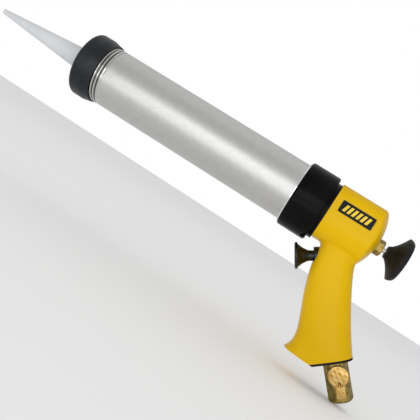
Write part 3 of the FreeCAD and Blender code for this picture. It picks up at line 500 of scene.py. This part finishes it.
def leverCasting():
    # disc: rings out from the middle of the face, over the rim and back in behind; the face stands up by a
    # crown and the casting's lumps, less the notch and the dimple. tab: a rounded bar's section carried along
    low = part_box("flow_lever")[0]
    joint = next(j for j in frame["record"]["behaviour"]["joints"] if j["name"] == "lever_turn")
    centre = np.array(joint["pos_m"])
    down = np.array(mounts["air_inlet"]["axis"])
    side = np.cross(down, (0.0, 1.0, 0.0))
    outwards = np.array((0.0, -1.0, 0.0))
    face = centre * (1, 0, 1) + np.array((0, low.y, 0))
    radiusOf = lever["discRadius"]
    rim, thick = lever["rim"], lever["discThickness"]
    corner = np.linspace(0, tau / 4, 6)
    rings = lever["discRings"]
    ringRadius = np.concatenate([np.linspace(0, radiusOf - rim, rings),
                                 radiusOf - rim + rim * np.sin(corner)[1:],
                                 [radiusOf, radiusOf, radiusOf - rim / 2, 0]])
    ringDepth = np.concatenate([np.zeros(rings), rim * (1 - np.cos(corner))[1:],
                                [thick / 2, thick - rim / 2, thick, thick]])
    angle = np.linspace(0, tau, lever["discAround"], endpoint=False)[None, :]
    radius = ringRadius[:, None]
    across = radius * np.sin(angle)
    along = radius * np.cos(angle)
    onFace = 1 - smoothStep(ringDepth[:, None], 0, rim)
    lift = lever["crown"] * (1 - (radius / radiusOf) ** 2)
    lift = lift + lever["lump"] * castLumps(across, along, lever["discLumps"])
    notch = (1 - smoothStep(np.abs(across), lever["notchWidth"] * 0.3, lever["notchWidth"] * 0.6))
    notch = notch * smoothStep(along, radiusOf - lever["notchLength"], radiusOf - lever["notchLength"] * 0.7)
    dimpleAt = np.hypot(across + lever["dimpleAcross"], along - lever["dimpleAlong"])
    sunk = lever["notchDepth"] * notch + lever["dimple"] * (1 - smoothStep(dimpleAt, *lever["dimpleEdge"]))
    depth = ringDepth[:, None] + onFace * (lever["crown"] + lever["lump"] - lift + sunk)
    disc = face + across[..., None] * side + along[..., None] * down - depth[..., None] * outwards
    discFaces = gridFaces(*depth.shape)

    reach, width = lever["tabReach"], lever["tabWidth"]
    tabThick, bend = lever["tabThickness"], lever["tabRound"]
    straight = np.linspace(radiusOf * lever["tabStart"], reach - bend, lever["tabRings"])
    stations = np.concatenate([straight, reach - bend + bend * np.sin(corner)[1:]])
    inset = np.concatenate([np.zeros(lever["tabRings"]), bend * (1 - np.cos(corner))[1:]])
    turn = np.linspace(0, tau, lever["tabAround"], endpoint=False)[None, :]
    boxy = lever["boxy"]
    c = np.sign(np.cos(turn)) * np.abs(np.cos(turn)) ** boxy
    s = np.sign(np.sin(turn)) * np.abs(np.sin(turn)) ** boxy
    tabAcross = (width / 2 - inset)[:, None] * c
    tabOut = (tabThick / 2 - inset * 0.6)[:, None] * s
    tabAlong = np.broadcast_to(stations[:, None], tabAcross.shape)
    tabOut = tabOut + 0.5 * lever["lump"] * castLumps(tabAcross, tabAlong, lever["tabLumps"]) * (s > 0)
    middle = face - outwards * (thick - tabThick / 2)
    tab = middle + tabAcross[..., None] * side + tabAlong[..., None] * down + tabOut[..., None] * outwards
    ends = [np.broadcast_to(ring.mean(axis=0), ring.shape)[None] for ring in (tab[0], tab[-1])]
    tab = np.concatenate([ends[0], tab, ends[1]])
    tabFaces = gridFaces(*tab.shape[:2], firstIndex=disc.shape[0] * disc.shape[1])
    points = np.concatenate([disc.reshape(-1, 3), tab.reshape(-1, 3)])
    faces = np.concatenate([discFaces[:, ::-1], tabFaces])
    piece = newPiece("leverCasting", points, faces, finishes["bright_brass"], lever["sharpAngle"])
    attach(piece, "flow_lever")
    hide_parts("flow_lever")


leverCasting()
print("lever made")


knob = {
    "around": 128,
    "neck": 5.6 * mm,
    "rim": 21.0 * mm,
    "swell": 12.4 * mm,      # distance from the neck's end to the rim
    "power": 1.55,           # how late the flare opens
    "dome": 1.6 * mm,        # fall of the back face from its middle to its rim
    "screwRadius": 4.3 * mm,
    "screwSeat": 5.5 * mm,   # from the screw's tip to the floor of its recess
    "rimFall": 0.10,         # share of the rim's radius lost as the edge rolls over
    "rimPower": 2.2,
    "flareRings": 40,
    "rimRings": 12,
    "domeRings": 20,
}


def trumpetKnob():
    # radius = neck + (rim - neck) * t^power up the flare, then round the rim, then along a shallow dome
    # behind: dome * (1 - (radius / rim)^2)
    low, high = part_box("throttle_knob")
    middleZ = (low.z + high.z) / 2
    stem = (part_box("throttle_stem")[1].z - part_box("throttle_stem")[0].z) / 2
    rim, neck, dome = knob["rim"], knob["neck"], knob["dome"]
    t = np.linspace(0, 1, knob["flareRings"])
    flareAlong = low.x + knob["swell"] * t
    flareRadius = neck + (rim - neck) * t ** knob["power"]
    roll = np.linspace(0, 1, knob["rimRings"])[1:]
    backRim = high.x - dome
    rimAlong = flareAlong[-1] + (backRim - flareAlong[-1]) * roll
    rimRadius = rim - (rim * knob["rimFall"]) * roll ** knob["rimPower"]
    radius = np.linspace(rimRadius[-1], knob["screwRadius"], knob["domeRings"])[1:]
    domeAlong = backRim + dome * (1 - (radius / rimRadius[-1]) ** 2)
    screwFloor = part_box("knob_screw")[0].x + knob["screwSeat"]
    along = np.concatenate([[low.x], flareAlong, rimAlong, domeAlong, [screwFloor, screwFloor]])
    radius = np.concatenate([[stem], flareRadius, rimRadius, radius, [knob["screwRadius"], stem]])
    angle = np.linspace(0, tau, knob["around"], endpoint=False)[None, :]
    points = turnedPoints(along[:, None], radius[:, None], angle, (0, 0, middleZ), (1, 0, 0))
    faces = gridFaces(len(along), knob["around"], wrapRows=True)
    piece = newPiece("trumpetKnob", points, faces, finishes["knob_plastic"])
    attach(piece, "throttle_knob")
    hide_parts("throttle_knob")


trumpetKnob()
print("knob made")


badge = {
    "bars": 6,
    "barWidth": 2.6 * mm,
    "barHeight": 6.4 * mm,
    "step": 4.3 * mm,
    "slant": 0.32,
    "stands": 0.18 * mm,
    "soften": 0.08 * mm,
}


def badgeBars():
    # a row of slanted bars: each corner is half a width to a side of the bar's middle, and half a height up
    # or down, moved along by the slant
    low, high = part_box("nameplate")
    middle = (low + high) / 2
    count = badge["bars"]
    offset = (np.arange(count) - (count - 1) / 2) * badge["step"]
    sideways = np.array((-1, 1, 1, -1)) * badge["barWidth"] / 2
    upwards = np.array((-1, -1, 1, 1)) * badge["barHeight"] / 2
    x = middle.x + offset[:, None] + sideways + badge["slant"] * upwards
    z = np.broadcast_to(middle.z + upwards, x.shape)
    front = np.stack([x, np.full(x.shape, low.y - badge["stands"]), z], axis=-1)
    back = np.stack([x, np.full(x.shape, low.y), z], axis=-1)
    points = np.concatenate([front, back], axis=1)
    block = np.array([(0, 1, 2, 3), (7, 6, 5, 4), (0, 4, 5, 1), (1, 5, 6, 2), (2, 6, 7, 3), (3, 7, 4, 0)])
    faces = (np.arange(count)[:, None, None] * 8 + block[None]).reshape(-1, 4)
    piece = newPiece("badgeBars", points, faces, plasticFinish("badgeYellow", markInk))
    soften = piece.modifiers.new("soften", "BEVEL")
    soften.width = badge["soften"]
    soften.segments = 2
    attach(piece, "gun_body")


badgeBars()
print("badge made")


studio = {
    "floorSize": 6.0,
    "floorTone": 0.94,
    "floorRough": 0.9,
    "floorGlow": 0.10,
    "around": 0.62,          # soft light from all sides
}


def paleFloor():
    size = studio["floorSize"]
    z = cadLow.z
    mesh = bpy.data.meshes.new("floor")
    corners = [(-size, -size, z), (size, -size, z), (size, size, z), (-size, size, z)]
    mesh.from_pydata(corners, [], [(0, 1, 2, 3)])
    floor = bpy.data.objects.new("floor", mesh)
    bpy.context.scene.collection.objects.link(floor)
    g = Graph("floorPaper")
    tone = studio["floorTone"]
    paper = g.finish(Base_Color=(tone, tone, tone), Roughness=studio["floorRough"],
                     Emission_Color=(1, 1, 1, 1), Emission_Strength=studio["floorGlow"])
    mesh.materials.append(paper)


def softBox(name, place, target, size, power):
    data = bpy.data.lights.new(name, "AREA")
    data.shape = "RECTANGLE"
    data.size, data.size_y = size
    data.energy = power
    light = bpy.data.objects.new(name, data)
    light.location = place
    light.visible_camera = False
    light.rotation_euler = (Vector(target) - Vector(place)).to_track_quat("-Z", "Y").to_euler()
    bpy.context.scene.collection.objects.link(light)


# white to look at, and a dimmer even light on the object
def studioWorld():
    world = bpy.data.worlds.new("studio")
    world.use_nodes = True
    tree = world.node_tree
    background = tree.nodes["Background"]
    background.inputs["Color"].default_value = (1, 1, 1, 1)
    path = tree.nodes.new("ShaderNodeLightPath")
    strength = tree.nodes.new("ShaderNodeMapRange")
    tree.links.new(path.outputs["Is Camera Ray"], strength.inputs["Value"])
    strength.inputs["To Min"].default_value = studio["around"]
    strength.inputs["To Max"].default_value = 1.0
    tree.links.new(strength.outputs["Result"], background.inputs["Strength"])
    bpy.context.scene.world = world
    bpy.context.scene.view_settings.view_transform = "Standard"


view = {
    "place": (0.3579, -0.5237, -0.0480),
    "turn": 8.32,            # degrees about the upright
    # degrees up from straight down, then about the line of sight
    "nod": 90 - 0.77,
    "roll": 32.73,
    "lens": 49.17,           # in mm, for a film of this width
    "film": 36.0,
    "nearest": 10 * mm,
}


def studioCamera():
    data = bpy.data.cameras.new("camera")
    data.sensor_width = view["film"]
    data.lens = view["lens"]
    data.clip_start = view["nearest"]
    camera = bpy.data.objects.new("camera", data)
    turn = Matrix.Rotation(math.radians(view["turn"]), 4, "Z")
    nod = Matrix.Rotation(math.radians(view["nod"]), 4, "X")
    roll = Matrix.Rotation(math.radians(view["roll"]), 4, "Z")
    camera.matrix_world = Matrix.Translation(view["place"]) @ turn @ nod @ roll
    bpy.context.scene.collection.objects.link(camera)
    bpy.context.scene.camera = camera


paleFloor()
studioWorld()
studioCamera()
middle = (0.25, 0, -0.02)
cardPlace = (0.28, -0.46, cadLow.z + 5 * mm)
cardTarget = (0.28, -0.46, 1)
lamps = [
    {"name": "frontLight", "place": (0.30, -1.25, 0.11), "target": middle, "size": (1.5, 0.5), "power": 3.7},
    {"name": "floorCard", "place": cardPlace, "target": cardTarget, "size": (1.1, 0.40), "power": 1.35},
    {"name": "topLight", "place": (0.25, 0.4, 1.5), "target": middle, "size": (2.0, 2.0), "power": 2.4},
]
for lamp in lamps:
    softBox(**lamp)
print("studio ready")
